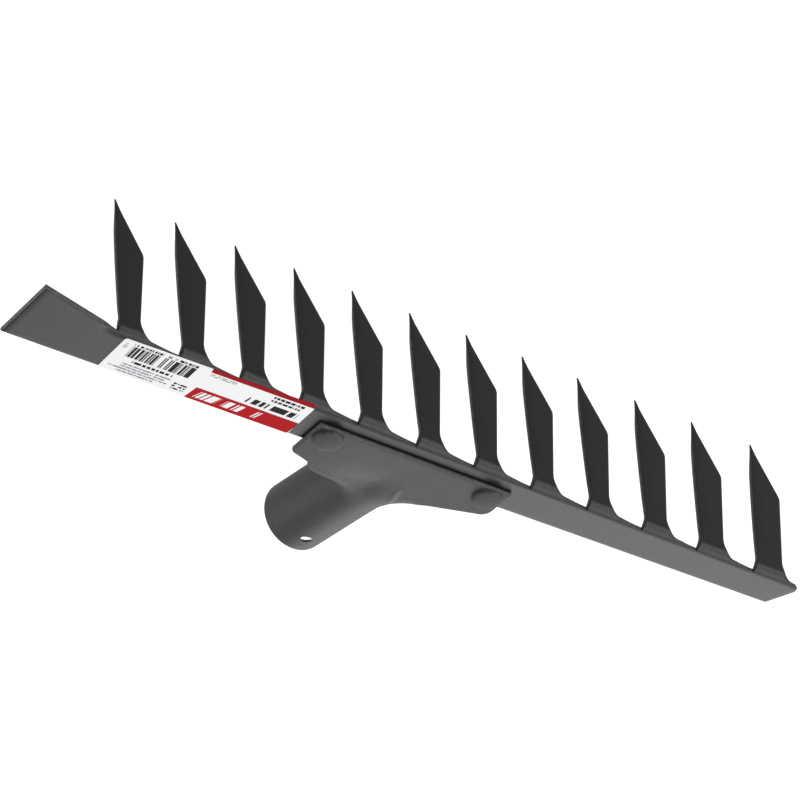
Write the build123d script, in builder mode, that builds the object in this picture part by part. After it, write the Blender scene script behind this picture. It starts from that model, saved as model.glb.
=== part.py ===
"""Twelve-tine riveted garden rake head in sheet steel, in millimetres.

Frame: the origin is the centre of the handle socket's mouth. +Z is up, the tines hang
towards -Z, the row of tines is parallel to X on the -Y side, and the handle leaves
towards +Y, tilted down by socket_tilt.
"""

import math
import os

from build123d import *

# ---- handle socket: a tongue of sheet rolled into a tube, with a flat flange in front
socket_sheet = 1.8
socket_bore = 26.5
socket_tilt = 7.5
tube_length = 47.0
seam_width = 2.5
throat_rake = 30.0
mouth_edge_radius = 0.5
neck_length = 14.0
neck_width = 48.0
neck_fillet = 2.0
neck_stations = 5
flange_width = 91.0
flange_depth = 30.5
left_ear_depth = 21.5
right_ear_depth = 17.4
ear_slope = 0.306
ear_corner_radius = 2.5
screw_hole_diameter = 4.2
screw_hole_from_mouth = 11.0

# ---- blade: one stamping, a tapered bar with a row of tines folded down
blade_sheet = 2.0
tine_count = 12
tine_pitch = 27.5
tine_length = 61.0
tine_root_width = 10.2
last_tine_root_width = 12.4
tine_lean = 5.0
last_tine_lean = 1.5
lean_change_tines = 3
tine_cut_height = 26.0
tine_shoulder_radius = 9.0
tine_root_radius = 3.0
fold_inner_radius = 1.5
first_notch_x = 141.8
scallop_slope = 0.17
bar_width_first_tine = 21.5
bar_width_last_tine = 16.3
plain_end_length = 38.7
plain_end_width = 34.0
cut_end_length = 26.6
cut_end_slant = 6.9
cut_end_radius = 3.5

# ---- how the socket's flange sits on the blade
flange_setback = 6.0

# ---- two rivets through the flange and the bar
rivet_spacing = 76.0
rivet_setback = 12.1
rivet_head_diameter = 12.4
rivet_head_height = 2.1
rivet_head_edge = 0.7
rivet_shank_diameter = 6.0
rivet_tail_diameter = 10.0
rivet_tail_height = 1.6
rivet_hole_clearance = 0.1

# ---- paper label stuck on the wide end of the bar
label_length = 86.0
label_width = 19.6
label_thickness = 0.2
label_corner_radius = 1.0
label_end_x = 138.0
label_edge_gap = 0.3

# ---- places worked out from the sizes above
tube_radius = socket_bore / 2 + socket_sheet
tilt = math.radians(socket_tilt)
into_tube = Vector(0, -math.cos(tilt), math.sin(tilt))
tube_up = Vector(0, math.sin(tilt), math.cos(tilt))
neck_crown = tube_up * tube_radius + into_tube * (tube_length + neck_length)
neck_y = neck_crown.Y
flange_top = neck_crown.Z
blade_top = flange_top - socket_sheet
blade_bottom = blade_top - blade_sheet
flange_front = neck_y - flange_depth
left_ear_back = flange_front + left_ear_depth
right_ear_back = flange_front + right_ear_depth
ear_rise = ear_slope * (flange_width - neck_width) / 2
notch_y = flange_front - flange_setback
fold_outer_radius = fold_inner_radius + blade_sheet
fold_end_z = blade_top - fold_outer_radius
tine_front = notch_y - fold_outer_radius
tip_z = blade_top - tine_length
last_notch_x = first_notch_x - (tine_count - 1) * tine_pitch
last_root_x = last_notch_x - last_tine_root_width
plain_end_x = first_notch_x + plain_end_length
cut_end_x = last_notch_x - cut_end_length
cut_end_back_x = cut_end_x + cut_end_slant
bar_taper = (bar_width_first_tine - bar_width_last_tine) / (first_notch_x - last_notch_x)
rivet_y = notch_y + rivet_setback
clear = 5.0


def bar_back(x):
    """The y of the bar's back edge at x, which leans because the bar tapers."""
    return notch_y + bar_width_first_tine + bar_taper * (x - first_notch_x)


def scallop_front(x, notch_x):
    """The y of the scalloped front edge at x, on the +X side of the notch at notch_x."""
    return notch_y - scallop_slope * (x - notch_x)


def tine_notch(index):
    """The x of the notch on the +X side of a tine, counted from 0 at the plain end."""
    return first_notch_x - index * tine_pitch


def tine_tip(index):
    """The x of a tine's point: every tine leans towards +X, less and less over the last few."""
    share = min(1, (tine_count - 1 - index) / lean_change_tines)
    return tine_notch(index) + last_tine_lean + (tine_lean - last_tine_lean) * share


def tine_root(index):
    """The x of a tine's -X side: the last tine is the widest."""
    width = last_tine_root_width if index == tine_count - 1 else tine_root_width
    return tine_notch(index) - width


# ------------------------------------------------------------------ the row of tines
band_z = blade_bottom - 0.3

with BuildPart() as tine_row:
    # the folded sheet, seen from the end: down from the bar, over its whole length
    with BuildSketch(Plane.YZ.offset(cut_end_x)):
        with BuildLine():
            Line((notch_y, blade_top), (notch_y, blade_bottom))
            RadiusArc(
                (notch_y, blade_bottom), (notch_y - fold_inner_radius, fold_end_z), -fold_inner_radius
            )
            Line((notch_y - fold_inner_radius, fold_end_z), (notch_y - fold_inner_radius, tip_z))
            Line((notch_y - fold_inner_radius, tip_z), (tine_front, tip_z))
            Line((tine_front, tip_z), (tine_front, fold_end_z))
            RadiusArc((tine_front, fold_end_z), (notch_y, blade_top), fold_outer_radius)
        make_face()
    extrude(amount=tine_tip(0) - cut_end_x)

    # the comb outline, seen from the front: a band under the fold and the pointed tines
    with BuildSketch(Plane.XZ.offset(-tine_front)) as comb:
        with BuildLine():
            Polyline(
                (cut_end_x, band_z),
                (first_notch_x, band_z),
                (first_notch_x, blade_top + clear),
                (cut_end_x, blade_top + clear),
                close=True,
            )
        make_face()
        for index in range(tine_count):
            notch_x = tine_notch(index)
            root_x = tine_root(index)
            with BuildLine():
                Polyline(
                    (notch_x, blade_top),
                    (notch_x, fold_end_z),
                    (tine_tip(index), tip_z),
                    (root_x, tip_z + tine_cut_height),
                    (root_x, blade_top),
                    close=True,
                )
            make_face()
        shoulders = vertices().filter_by(lambda v: abs(v.Y - tip_z - tine_cut_height) < 0.01)
        fillet(shoulders, tine_shoulder_radius)
        roots = [tine_root(index) for index in range(tine_count)]
        root_corners = vertices().filter_by(
            lambda v: abs(v.Y - band_z) < 0.01 and min(abs(v.X - root) for root in roots) < 0.01
        )
        fillet(root_corners, tine_root_radius)
    extrude(amount=fold_outer_radius + clear, both=True, mode=Mode.INTERSECT)

    # the scallops between the tines, seen from above, cut as far down as the fold goes
    with BuildSketch(Plane.XY.offset(blade_top + clear)):
        for index in range(1, tine_count):
            notch_x = tine_notch(index)
            root_x = tine_root(index - 1)
            with BuildLine():
                Polyline(
                    (notch_x, notch_y),
                    (root_x, scallop_front(root_x, notch_x)),
                    (root_x, tine_front - clear),
                    (notch_x, tine_front - clear),
                    close=True,
                )
            make_face()
    extrude(amount=-(clear + fold_outer_radius), mode=Mode.SUBTRACT)

# ------------------------------------------------------------------------ rake_blade
next_notch_x = last_notch_x - tine_pitch

with BuildPart() as rake_blade:
    # the flat bar behind the notches, with the plain end flaring forward of them
    with BuildSketch(Plane.XY.offset(blade_top)):
        with BuildLine():
            Polyline(
                (plain_end_x, bar_back(plain_end_x)),
                (plain_end_x, bar_back(plain_end_x) - plain_end_width),
                (first_notch_x, notch_y),
                (cut_end_x, notch_y),
                (cut_end_x, bar_back(cut_end_x)),
                close=True,
            )
        make_face()
    extrude(amount=-blade_sheet)
    add(tine_row.part)

    # the slanted end cut, with its rounded front corner
    with BuildSketch(Plane.XY.offset(blade_top + clear)):
        with BuildLine():
            Polyline(
                (cut_end_back_x, bar_back(cut_end_back_x)),
                (cut_end_x, scallop_front(cut_end_x, next_notch_x)),
                (last_root_x, scallop_front(last_root_x, next_notch_x)),
                (last_root_x, tine_front - clear),
                (plain_end_x + clear, tine_front - clear - plain_end_width),
                (plain_end_x + clear, bar_back(plain_end_x) + clear),
                (cut_end_back_x, bar_back(plain_end_x) + clear),
                close=True,
            )
        make_face()
        fillet(vertices().sort_by(Axis.X)[0], cut_end_radius)
    extrude(amount=-(tine_length + 2 * clear), mode=Mode.INTERSECT)

    with Locations(*[(side * rivet_spacing / 2, rivet_y, blade_top) for side in (-1, 1)]):
        Hole(rivet_shank_diameter / 2 + rivet_hole_clearance)

rake_blade.part.label = "rake_blade"

# --------------------------------------------------------------------- handle_socket
mouth = Plane(origin=(0, 0, 0), x_dir=(1, 0, 0), z_dir=into_tube)
side_view = Plane(origin=(0, 0, 0), x_dir=into_tube, z_dir=(1, 0, 0))


def neck_plane(share):
    """The section plane at a share of the neck, from 0 at the flange to 1 at the tube."""
    turn = tilt * share
    return Plane(
        origin=neck_crown - into_tube * neck_length * share,
        x_dir=(1, 0, 0),
        z_dir=(0, -math.cos(turn), math.sin(turn)),
    )


def neck_section(share):
    """Half width and sag of the curling sheet, and the sheet's direction at its edge."""
    eased = share * share * (3 - 2 * share)
    half_width = neck_width / 2 + (tube_radius - neck_width / 2) * share
    sag = 0.05 + (tube_radius - 0.05) * eased
    radius = (half_width**2 + sag**2) / (2 * sag)
    inward = Vector(-half_width / radius, (sag - radius) / radius)
    return half_width, sag, inward


with BuildPart() as handle_socket:
    # the flat flange with its two ears
    with BuildSketch(Plane.XY.offset(flange_top)):
        with BuildLine():
            half = flange_width / 2
            neck = neck_width / 2
            Polyline(
                (half, flange_front),
                (half, left_ear_back),
                (neck, left_ear_back + ear_rise),
                (neck, neck_y),
                (-neck, neck_y),
                (-neck, right_ear_back + ear_rise),
                (-half, right_ear_back),
                (-half, flange_front),
                close=True,
            )
        make_face()
        inner_corners = vertices().filter_by(
            lambda v: abs(abs(v.X) - neck) < 0.01 and v.Y < neck_y - 0.01
        )
        fillet(inner_corners, neck_fillet)
        ear_corners = vertices().filter_by(
            lambda v: abs(abs(v.X) - half) < 0.01 and v.Y > flange_front + 1
        )
        fillet(ear_corners, ear_corner_radius)
    extrude(amount=-socket_sheet)

    # the neck, where the flat sheet curls down into the tube's upper half
    for station in range(neck_stations):
        share = station / (neck_stations - 1)
        half_width, sag, inward = neck_section(share)
        with BuildSketch(neck_plane(share)):
            with BuildLine():
                edge = (half_width, -sag)
                inner_edge = (half_width + inward.X * socket_sheet, -sag + inward.Y * socket_sheet)
                ThreePointArc((-edge[0], edge[1]), (0, 0), edge)
                Line(edge, inner_edge)
                ThreePointArc(inner_edge, (0, -socket_sheet), (-inner_edge[0], inner_edge[1]))
                Line((-inner_edge[0], inner_edge[1]), (-edge[0], edge[1]))
            make_face()
    loft()

    # the tube, its open seam below and the raked front of its lower half
    with BuildSketch(mouth):
        Circle(tube_radius)
        Circle(socket_bore / 2, mode=Mode.SUBTRACT)
    extrude(amount=tube_length)
    with BuildSketch(mouth):
        with Locations((0, -tube_radius)):
            Rectangle(seam_width, tube_radius)
    extrude(amount=tube_length, mode=Mode.SUBTRACT)
    with BuildSketch(side_view):
        with BuildLine():
            below = tube_radius + clear
            Polyline(
                (tube_length, 0),
                (tube_length + clear, 0),
                (tube_length + clear, below),
                (tube_length - below * math.tan(math.radians(throat_rake)), below),
                close=True,
            )
        make_face()
    extrude(amount=tube_radius + clear, both=True, mode=Mode.SUBTRACT)

    # the mouth's rims, dressed smooth
    mouth_rims = edges().filter_by(GeomType.CIRCLE).filter_by(
        lambda e: abs((e @ 0).dot(into_tube)) < 0.01 and abs((e @ 1).dot(into_tube)) < 0.01
    )
    fillet(mouth_rims, mouth_edge_radius)

    # the screw hole in the top of the tube and the two rivet holes
    hole_place = tube_up * tube_radius + into_tube * screw_hole_from_mouth
    with BuildSketch(Plane(origin=hole_place, x_dir=(1, 0, 0), z_dir=tube_up)):
        Circle(screw_hole_diameter / 2)
    extrude(amount=-tube_radius, mode=Mode.SUBTRACT)
    with BuildSketch(Plane.XY.offset(flange_top)):
        with Locations(*[(side * rivet_spacing / 2, rivet_y) for side in (-1, 1)]):
            Circle(rivet_shank_diameter / 2 + rivet_hole_clearance)
    extrude(amount=-socket_sheet, mode=Mode.SUBTRACT)

handle_socket.part.label = "handle_socket"

# ---------------------------------------------------------------------------- rivets
rivets = []
for name, side in (("left_rivet", 1), ("right_rivet", -1)):
    with BuildPart() as rivet:
        place = (side * rivet_spacing / 2, rivet_y)
        with BuildSketch(Plane.XY.offset(flange_top)):
            with Locations(place):
                Circle(rivet_head_diameter / 2)
        extrude(amount=rivet_head_height)
        fillet(edges().sort_by(Axis.Z)[-1], rivet_head_edge)
        with BuildSketch(Plane.XY.offset(flange_top)):
            with Locations(place):
                Circle(rivet_shank_diameter / 2)
        extrude(amount=-(socket_sheet + blade_sheet))
        with BuildSketch(Plane.XY.offset(blade_bottom)):
            with Locations(place):
                Circle(rivet_tail_diameter / 2)
        extrude(amount=-rivet_tail_height)
        fillet(edges().sort_by(Axis.Z)[0], rivet_head_edge)
    rivet.part.label = name
    rivets.append(rivet)

# ----------------------------------------------------------------------------- label
label_angle = math.degrees(math.atan(bar_taper))
label_back_corner = Vector(label_end_x, bar_back(label_end_x) - label_edge_gap, blade_top)
label_plane = Plane(origin=label_back_corner).rotated((0, 0, label_angle))

with BuildPart() as label:
    with BuildSketch(label_plane):
        RectangleRounded(
            label_length, label_width, label_corner_radius, align=(Align.MAX, Align.MAX)
        )
    extrude(amount=label_thickness)

label.part.label = "label"

# ------------------------------------------------------------------------- STEP files
os.makedirs("parts", exist_ok=True)
for piece in (rake_blade, handle_socket, *rivets, label):
    export_step(piece.part, f"parts/{piece.part.label}.step")
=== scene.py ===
"""Looks of a riveted sheet-steel garden rake head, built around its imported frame.

Shapes are worked out in millimetres in the frame's axes and written to the meshes in metres:
+X runs along the row of tines towards the plain labelled end, +Z is up with the tines hanging
down, and the handle leaves the socket towards +Y. Every piece is a pair of numpy grids, the two
faces of a sheet, joined by walls round its edge.
"""

from __future__ import annotations

import logging
import math
from dataclasses import dataclass
from enum import Enum

import bmesh
import bpy
import numpy as np
from mathutils import Matrix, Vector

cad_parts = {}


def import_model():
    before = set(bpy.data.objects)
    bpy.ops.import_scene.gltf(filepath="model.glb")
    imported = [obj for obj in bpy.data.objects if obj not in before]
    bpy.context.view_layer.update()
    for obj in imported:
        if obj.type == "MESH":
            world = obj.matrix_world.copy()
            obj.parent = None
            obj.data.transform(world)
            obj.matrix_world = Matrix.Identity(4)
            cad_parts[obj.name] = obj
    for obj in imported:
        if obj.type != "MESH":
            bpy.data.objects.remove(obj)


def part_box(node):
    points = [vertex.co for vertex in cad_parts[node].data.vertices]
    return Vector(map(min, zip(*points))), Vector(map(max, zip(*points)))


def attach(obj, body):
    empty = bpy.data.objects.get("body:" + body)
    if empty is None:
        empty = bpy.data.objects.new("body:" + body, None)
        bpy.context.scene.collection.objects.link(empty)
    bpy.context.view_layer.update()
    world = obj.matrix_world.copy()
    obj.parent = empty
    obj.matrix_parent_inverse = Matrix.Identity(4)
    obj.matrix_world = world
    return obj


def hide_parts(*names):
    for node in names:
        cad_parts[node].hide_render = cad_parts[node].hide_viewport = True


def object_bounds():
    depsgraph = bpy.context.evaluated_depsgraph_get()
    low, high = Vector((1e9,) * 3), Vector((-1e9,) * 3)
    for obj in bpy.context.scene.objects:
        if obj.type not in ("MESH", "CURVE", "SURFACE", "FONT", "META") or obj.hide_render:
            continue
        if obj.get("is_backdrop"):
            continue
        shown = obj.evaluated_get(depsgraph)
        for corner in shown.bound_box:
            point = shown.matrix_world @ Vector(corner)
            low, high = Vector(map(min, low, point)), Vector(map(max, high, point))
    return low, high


LOG = logging.getLogger("rake_head")
METRES = 0.001
MERGE_DISTANCE = 2e-6
SHARP_ANGLE = math.radians(38.0)
EDGE_STEPS = 5
# How fast the edges take the lighter paint: part rubbed paint, part painted highlight along the rolled
# edges.
EDGE_WEAR_AND_HIGHLIGHT = 1.6
TINY = 1e-9
BODY = "root"
Feed = float | tuple[float, ...] | bpy.types.NodeSocket


class Wall(Enum):
    """The sides of a grid that can be closed by a wall between its two faces."""

    FIRST_ROW = "first_row"
    LAST_ROW = "last_row"
    FIRST_COLUMN = "first_column"
    LAST_COLUMN = "last_column"


# ------------------------------------------------------------------ grids and meshes
@dataclass
class SheetGrid:
    """Two matching grids of points, the outer and inner face of a sheet, in millimetres.

    Attributes:
        outer: Points of the outer face, shaped (rows, columns, 3).
        inner: Points of the inner face, in the same order.
        wear_and_highlight: How close each point is to a cut edge, from 0 to 1, shaped (rows, columns); it
            lightens the paint there, part rubbed paint and part painted highlight.
        walls: The sides to close between the faces.
    """

    outer: np.ndarray
    inner: np.ndarray
    wear_and_highlight: np.ndarray
    walls: tuple[Wall, ...]

    def vertices(self) -> np.ndarray:
        """All points as one (n, 3) array: the outer face, then the inner face."""
        return np.concatenate([self.outer.reshape(-1, 3), self.inner.reshape(-1, 3)])

    def faces(self) -> np.ndarray:
        """Work out the quads of both faces and the walls.

        Returns:
            An (m, 4) array of vertex numbers.
        """
        rows, columns = self.wear_and_highlight.shape
        top = np.arange(rows * columns).reshape(rows, columns)
        low = top + rows * columns
        quads = [grid_quads(top), grid_quads(low)[:, ::-1]]
        sides = {
            Wall.FIRST_ROW: (top[0], low[0]),
            Wall.LAST_ROW: (top[-1], low[-1]),
            Wall.FIRST_COLUMN: (top[:, 0], low[:, 0]),
            Wall.LAST_COLUMN: (top[:, -1], low[:, -1]),
        }
        for wall in self.walls:
            quads.append(grid_quads(np.stack(sides[wall])))
        return np.concatenate(quads)


def grid_quads(index: np.ndarray) -> np.ndarray:
    """Quads between neighbouring rows and columns of a grid of vertex numbers.

    Args:
        index: Vertex numbers, shaped (rows, columns).

    Returns:
        An array shaped (quads, 4).
    """
    corners = (index[:-1, :-1], index[:-1, 1:], index[1:, 1:], index[1:, :-1])
    return np.stack([corner.ravel() for corner in corners], axis=1)


def mesh_object(
    name: str, points: np.ndarray, faces: np.ndarray, marks: dict[str, np.ndarray]
) -> bpy.types.Object:
    """Make a closed, smooth-shaded mesh object.

    Args:
        name: The object's name.
        points: Its points in millimetres, shaped (n, 3).
        faces: Its faces as rows of point numbers.
        marks: Values on each vertex, by name, in the points' order.

    Returns:
        The new object, at the origin.
    """
    mesh = bpy.data.meshes.new(name)
    mesh.from_pydata((points * METRES).tolist(), [], faces.tolist())
    for key, values in marks.items():
        mesh.attributes.new(key, "FLOAT", "POINT").data.foreach_set("value", values.astype(np.float32))
    close_mesh(mesh)
    piece = bpy.data.objects.new(name, mesh)
    bpy.context.scene.collection.objects.link(piece)
    return piece


def join_grids(
    name: str, grids: list[SheetGrid], marks: dict[str, np.ndarray] | None = None
) -> bpy.types.Object:
    """Join sheet grids into one object with a wear_and_highlight value on each vertex, which lightens the
    paint at the edges: part rubbed paint, part painted highlight.

    Args:
        name: The object's name.
        grids: The patches, which share the points along their common edges.
        marks: More values on each vertex, by name, in the vertices' order.

    Returns:
        The new object.
    """
    points, quads, start = [], [], 0
    for grid in grids:
        points.append(grid.vertices())
        quads.append(grid.faces() + start)
        start += len(points[-1])
    wear_and_highlight = np.concatenate([np.tile(grid.wear_and_highlight.ravel(), 2) for grid in grids])
    return mesh_object(name, np.concatenate(points), np.concatenate(quads), {"wear_and_highlight": wear_and_highlight, **(marks or {})})


def close_mesh(mesh: bpy.types.Mesh) -> None:
    """Merge doubled points, drop collapsed faces, turn all faces outwards and shade smooth.

    Args:
        mesh: The mesh, changed in place.
    """
    work = bmesh.new()
    work.from_mesh(mesh)
    bmesh.ops.remove_doubles(work, verts=work.verts, dist=MERGE_DISTANCE)
    bmesh.ops.dissolve_degenerate(work, edges=work.edges, dist=MERGE_DISTANCE)
    bmesh.ops.recalc_face_normals(work, faces=work.faces)
    open_edges = sum(1 for edge in work.edges if not edge.is_manifold)
    LOG.info("%s: %d faces, %d open edges", mesh.name, len(work.faces), open_edges)
    work.to_mesh(mesh)
    work.free()
    mesh.shade_smooth()
    mesh.set_sharp_from_angle(angle=SHARP_ANGLE)


def rolled_edge() -> tuple[np.ndarray, np.ndarray]:
    """A quarter circle from the flat face (first) to the wall (last), for a radius of 1.

    Returns:
        The distance in from the edge, one minus the sine of the angle, and the drop below the
        face, one minus its cosine.
    """
    angle = np.linspace(0.0, math.pi / 2, EDGE_STEPS)
    return 1.0 - np.sin(angle), 1.0 - np.cos(angle)


def smoothstep(
    low: float | np.ndarray, high: float | np.ndarray, value: float | np.ndarray
) -> np.ndarray:
    """Rise from 0 at low to 1 at high along 3 t squared minus 2 t cubed."""
    share = np.clip((np.asarray(value, float) - low) / (high - low), 0.0, 1.0)
    return share * share * (3.0 - 2.0 * share)


def blend(ends: tuple[float, float], share: float | np.ndarray) -> float | np.ndarray:
    """Go from the first end to the last in a straight line."""
    return ends[0] + (ends[1] - ends[0]) * share


def bell(value: np.ndarray, centre: float | np.ndarray, width: float | np.ndarray) -> np.ndarray:
    """A bell curve, e to the minus square of the distance from the centre over the width."""
    return np.exp(-(((value - centre) / width) ** 2))


def slope_at(place: np.ndarray, knots: np.ndarray, values: np.ndarray, step: float) -> np.ndarray:
    """Slope of a polyline: its rise from one step before a place to one step after."""
    rise = np.interp(place + step, knots, values) - np.interp(place - step, knots, values)
    return rise / (2 * step)


def rolled_rows(
    low: np.ndarray, low_reach: np.ndarray, face: np.ndarray, high: np.ndarray, high_reach: np.ndarray
) -> np.ndarray:
    """Set out the columns of each row: round one rolled edge, over the face and round the other.

    Args:
        low: Place of the low outline on each row.
        low_reach: How far its rolled edge reaches in.
        face: The columns from the end of the low edge to the start of the high one.
        high: Place of the high outline on each row.
        high_reach: How far its rolled edge reaches in.

    Returns:
        The places, shaped (rows, columns).
    """
    inset, _ = rolled_edge()
    first = low[:, None] + low_reach[:, None] * inset[::-1]
    return np.concatenate([first, face[:, 1:-1], high[:, None] - high_reach[:, None] * inset], axis=1)


def rounded_path(corners: list[tuple[float, float]], radii: list[float], steps: int = 12) -> np.ndarray:
    """Round the inner corners of a polyline with arcs tangent to its sides.

    Each corner with a radius is replaced by points turned about the arc's centre, which lies on
    the corner's bisector at the radius divided by the cosine of half the turn.

    Args:
        corners: The polyline's points.
        radii: One radius for each inner corner.
        steps: Points along each arc.

    Returns:
        The rounded polyline, shaped (points, 2).
    """
    path = np.asarray(corners, float)
    parts = [path[:1]]
    for before, here, after, radius in zip(path[:-2], path[1:-1], path[2:], radii):
        back = (before - here) / np.linalg.norm(before - here)
        ahead = (after - here) / np.linalg.norm(after - here)
        half = math.acos(float(np.clip(back @ ahead, -1.0, 1.0))) / 2
        bisector = (back + ahead) / np.linalg.norm(back + ahead)
        centre = here + bisector * radius / math.sin(half)
        first = here + back * radius / math.tan(half) - centre
        last = here + ahead * radius / math.tan(half) - centre
        share = np.linspace(0.0, 1.0, steps)[:, None]
        turn = math.pi - 2 * half
        weights = np.sin((1 - share) * turn), np.sin(share * turn)
        parts.append(centre + (first * weights[0] + last * weights[1]) / math.sin(turn))
    parts.append(path[-1:])
    return np.concatenate(parts)


# ---------------------------------------------------------------------------- paint
@dataclass(frozen=True)
class PaintFinish:
    """Satin paint over sheet steel, with fine texture, soft mottling and lighter edges: part rubbed paint,
    part painted highlight.

    Attributes:
        name: The material's name.
        colour: Base colour, linear.
        rubbed_and_highlight_colour: Lighter colour painted on the edges, part rubbed-thin paint and part
            painted highlight.
        roughness: Mean roughness.
        specular: Strength of the reflection.
        mottle: How far the colour varies, as a share.
        peel_height: Height of the fine bump, in metres.
        rubbing_and_highlight: How strongly the edges show that lighter colour.
    """

    name: str
    colour: tuple[float, float, float]
    rubbed_and_highlight_colour: tuple[float, float, float]
    roughness: float = 0.44
    specular: float = 0.2
    mottle: float = 0.12
    peel_height: float = 0.00003
    rubbing_and_highlight: float = 0.55

    def build(self) -> bpy.types.Material:
        """Make the node material.

        Returns:
            A material whose colour, roughness and bump vary over Object coordinates.
        """
        nodes = NodeKit(self.name)
        place = nodes.node("ShaderNodeTexCoord").outputs["Object"]
        broad = nodes.noise(place, scale=38.0, detail=3.0)
        fine = nodes.noise(place, scale=950.0, detail=2.0)
        drag = nodes.node("ShaderNodeMapping", {"Vector": place, "Scale": (60.0, 420.0, 420.0)})
        streaks = nodes.noise(drag.outputs["Vector"], scale=1.0, detail=4.0)
        shade = nodes.ramp(broad, (0.3, 0.7), (1.0 - self.mottle, 1.0 + self.mottle))
        tone = nodes.math("MULTIPLY", shade, nodes.ramp(streaks, (0.3, 0.7), (0.94, 1.06)))
        body = nodes.scale_colour(self.colour, tone)
        # Edges and the socket's crease get a lighter colour here: part rubbed paint with chips, part painted
        # highlight.
        chips = nodes.ramp(nodes.noise(place, scale=420.0, detail=4.0), (0.40, 0.68), (0.45, 1.0))
        rubbed_and_highlight = nodes.math("MULTIPLY", nodes.math("MULTIPLY", nodes.mark("wear_and_highlight"), chips), self.rubbing_and_highlight)
        height = nodes.math("ADD", fine, nodes.math("MULTIPLY", broad, 2.0))
        rough = nodes.ramp(fine, (0.3, 0.7), (self.roughness - 0.04, self.roughness + 0.06))
        nodes.dress({
            "Base Color": nodes.mix_colour(rubbed_and_highlight, body, self.rubbed_and_highlight_colour),
            "Roughness": rough,
            "Specular IOR Level": self.specular,
            "Normal": nodes.bump(height, self.peel_height),
        })
        return nodes.material


BLADE_PAINT = PaintFinish(
    "blade_paint", (0.0012, 0.0012, 0.0013), (0.06, 0.06, 0.061), roughness=0.39, specular=0.17
)
SOCKET_PAINT = PaintFinish(
    "socket_paint", (0.019, 0.019, 0.0193), (0.08, 0.08, 0.081), roughness=0.56, specular=0.12
)
RIVET_PAINT = PaintFinish(
    "rivet_paint", (0.011, 0.011, 0.0112), (0.05, 0.05, 0.051), roughness=0.55, specular=0.125
)


class NodeKit:
    """A short way to write one node material with a Principled shader."""

    def __init__(self, name: str) -> None:
        """Start an empty material.

        Args:
            name: The material's name.
        """
        self.material = bpy.data.materials.new(name)
        self.material.use_nodes = True
        self.tree = self.material.node_tree
        self.shader = self.tree.nodes["Principled BSDF"]

    def feed(self, target: bpy.types.NodeSocket, value: Feed) -> None:
        """Set an input to a value, or link an output to it.

        Args:
            target: The input.
            value: A number, a vector, a colour in three parts, or an output.
        """
        if isinstance(value, bpy.types.NodeSocket):
            self.tree.links.new(value, target)
        elif isinstance(value, tuple):
            target.default_value = (*value, 1.0)[: len(target.default_value)]
        else:
            target.default_value = value

    def node(
        self, kind: str, inputs: dict[str | int, Feed] | None = None, **settings: str
    ) -> bpy.types.Node:
        """Add a node.

        Args:
            kind: The node's type name.
            inputs: What each input gets, by its name or number.
            settings: The node's own choices, such as its operation.

        Returns:
            The new node.
        """
        node = self.tree.nodes.new(kind)
        for key, choice in settings.items():
            setattr(node, key, choice)
        for key, value in (inputs or {}).items():
            self.feed(node.inputs[key], value)
        return node

    def dress(self, inputs: dict[str, Feed]) -> None:
        """Feed the shader's own inputs, by name."""
        for key, value in inputs.items():
            self.feed(self.shader.inputs[key], value)

    def mark(self, name: str) -> bpy.types.NodeSocket:
        """Read a value that is kept on each vertex."""
        return self.node("ShaderNodeAttribute", attribute_name=name).outputs["Fac"]

    def noise(self, place: Feed, scale: float, detail: float) -> bpy.types.NodeSocket:
        """Fractal noise from 0 to 1 at a place."""
        inputs = {"Vector": place, "Scale": scale, "Detail": detail}
        return self.node("ShaderNodeTexNoise", inputs).outputs["Fac"]

    def ramp(
        self, value: Feed, source: tuple[float, float], result: tuple[float, float]
    ) -> bpy.types.NodeSocket:
        """Map one range to another in a straight line, and clamp it."""
        ends = {"From Min": source[0], "From Max": source[1], "To Min": result[0], "To Max": result[1]}
        return self.node("ShaderNodeMapRange", {"Value": value, **ends}).outputs["Result"]

    def math(self, operation: str, first: Feed, second: Feed = 0.0) -> bpy.types.NodeSocket:
        """One Math node."""
        return self.node("ShaderNodeMath", {0: first, 1: second}, operation=operation).outputs[0]

    def scale_colour(self, colour: Feed, tone: Feed) -> bpy.types.NodeSocket:
        """A colour multiplied by a varying tone."""
        inputs = {0: colour, "Scale": tone}
        return self.node("ShaderNodeVectorMath", inputs, operation="SCALE").outputs["Vector"]

    def mix_colour(self, share: Feed, first: Feed, second: Feed) -> bpy.types.NodeSocket:
        """Blend from the first colour to the second by a share."""
        inputs = {"Factor": share, 6: first, 7: second}
        return self.node("ShaderNodeMix", inputs, data_type="RGBA").outputs[2]

    def bump(self, height: Feed, distance: float) -> bpy.types.NodeSocket:
        """The normal of a bumped surface, with the bump's height in metres."""
        return self.node("ShaderNodeBump", {"Distance": distance, "Height": height}).outputs["Normal"]


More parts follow.
